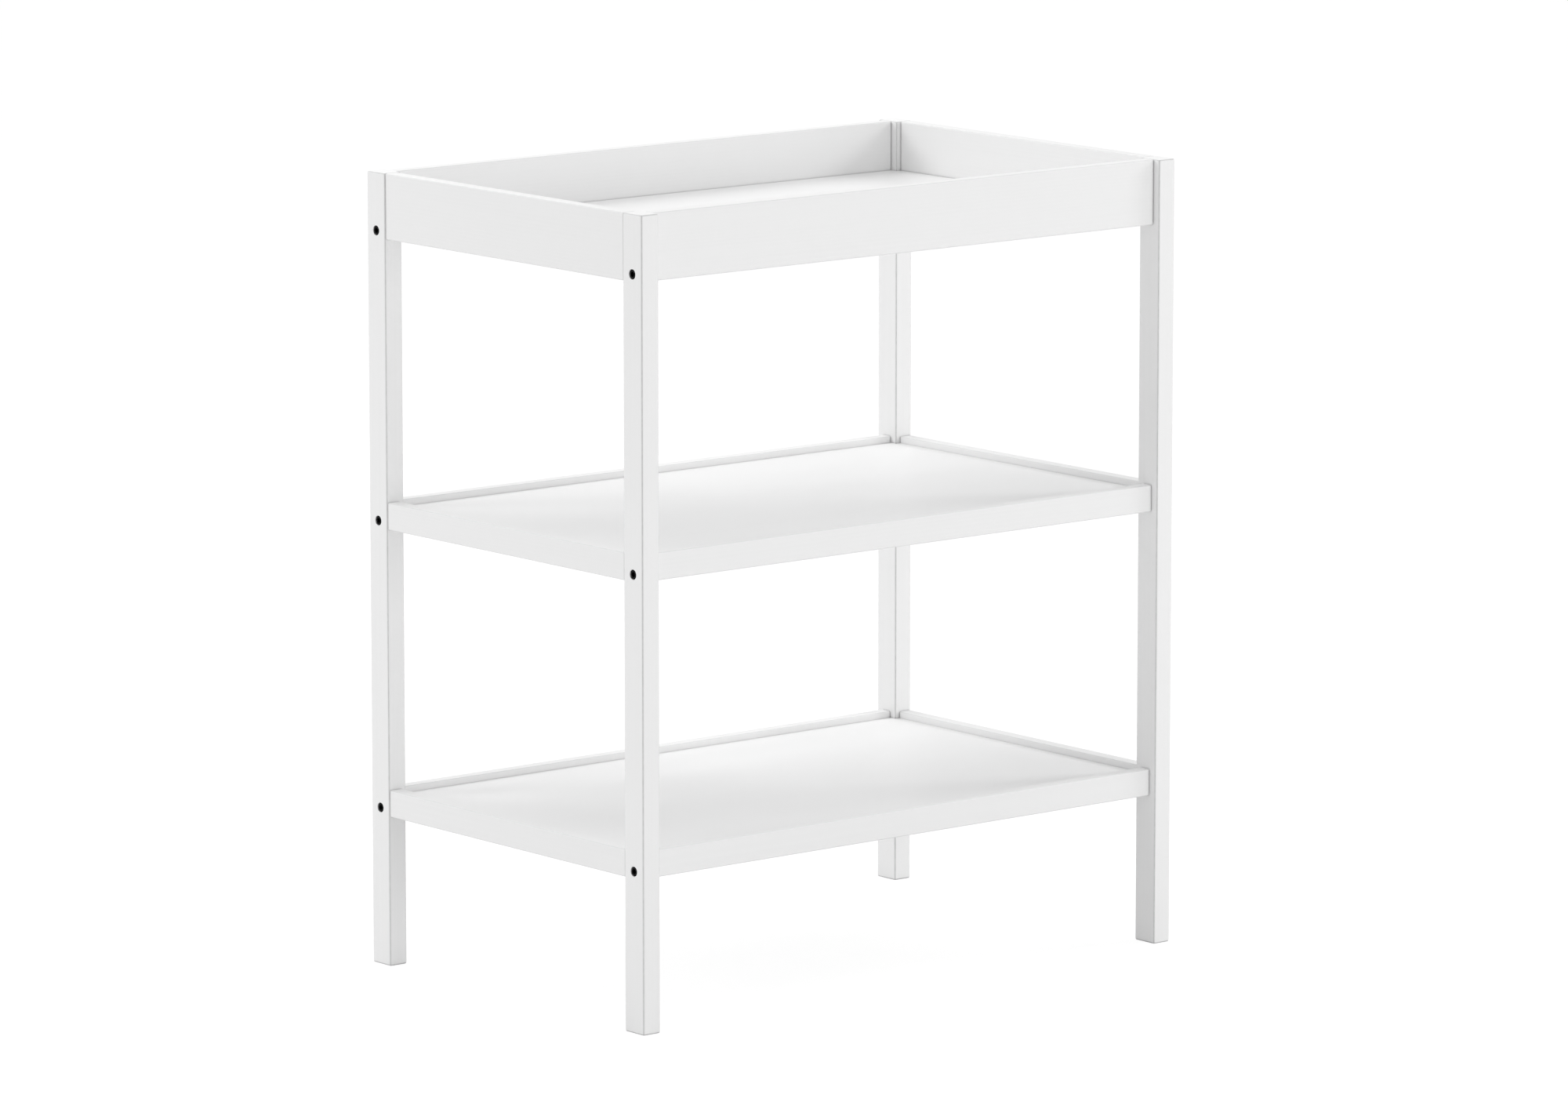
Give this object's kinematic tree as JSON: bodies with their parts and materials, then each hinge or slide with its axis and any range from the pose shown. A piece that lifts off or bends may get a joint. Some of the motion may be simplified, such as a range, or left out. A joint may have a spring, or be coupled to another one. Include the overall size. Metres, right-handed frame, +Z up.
{
  "type": "changing table",
  "caption": "Open changing table on slim square-cut legs: a deep tray on top holds a changing mat, and shallow tray shelves below it hold boxes and clothes.",
  "frame": {"origin": "middle of the rectangle that the feet stand in, on the floor", "axes": "+X to the right along the long side, seen from the front; +Y to the back; +Z up"},
  "size_m": [0.75, 0.48, 0.88],
  "materials": {
    "painted_wood": "solid wood, white satin lacquer",
    "painted_board": "fibreboard, white satin lacquer",
    "beech": "bare turned beech",
    "black_steel": "black oxide",
    "zinc_steel": "bright zinc plate"
  },
  "bodies": {
    "root": {"front_left_leg": "painted_wood", "front_right_leg": "painted_wood", "back_left_leg": "painted_wood", "back_right_leg": "painted_wood", "lower_shelf_back_rail": "painted_wood", "lower_shelf_front_rail": "painted_wood", "lower_shelf_right_rail": "painted_wood", "lower_shelf_left_rail": "painted_wood", "lower_shelf_board": "painted_board", "middle_shelf_back_rail": "painted_wood", "middle_shelf_front_rail": "painted_wood", "middle_shelf_right_rail": "painted_wood", "middle_shelf_left_rail": "painted_wood", "middle_shelf_board": "painted_board", "tray_back_rail": "painted_wood", "tray_front_rail": "painted_wood", "tray_right_rail": "painted_wood", "tray_left_rail": "painted_wood", "tray_floor": "painted_board", "front_left_long_rail_dowels": "beech", "front_left_end_rail_dowels": "beech", "front_right_long_rail_dowels": "beech", "front_right_end_rail_dowels": "beech", "back_left_long_rail_dowels": "beech", "back_left_end_rail_dowels": "beech", "back_right_long_rail_dowels": "beech", "back_right_end_rail_dowels": "beech", "lower_shelf_front_left_bolt": "black_steel", "lower_shelf_front_left_barrel_nut": "zinc_steel", "lower_shelf_front_right_bolt": "black_steel", "lower_shelf_front_right_barrel_nut": "zinc_steel", "lower_shelf_back_left_bolt": "black_steel", "lower_shelf_back_left_barrel_nut": "zinc_steel", "lower_shelf_back_right_bolt": "black_steel", "lower_shelf_back_right_barrel_nut": "zinc_steel", "middle_shelf_front_left_bolt": "black_steel", "middle_shelf_front_left_barrel_nut": "zinc_steel", "middle_shelf_front_right_bolt": "black_steel", "middle_shelf_front_right_barrel_nut": "zinc_steel", "middle_shelf_back_left_bolt": "black_steel", "middle_shelf_back_left_barrel_nut": "zinc_steel", "middle_shelf_back_right_bolt": "black_steel", "middle_shelf_back_right_barrel_nut": "zinc_steel", "tray_front_left_bolt": "black_steel", "tray_front_left_barrel_nut": "zinc_steel", "tray_front_right_bolt": "black_steel", "tray_front_right_barrel_nut": "zinc_steel", "tray_back_left_bolt": "black_steel", "tray_back_left_barrel_nut": "zinc_steel", "tray_back_right_bolt": "black_steel", "tray_back_right_barrel_nut": "zinc_steel"}
  },
  "joints": []
}
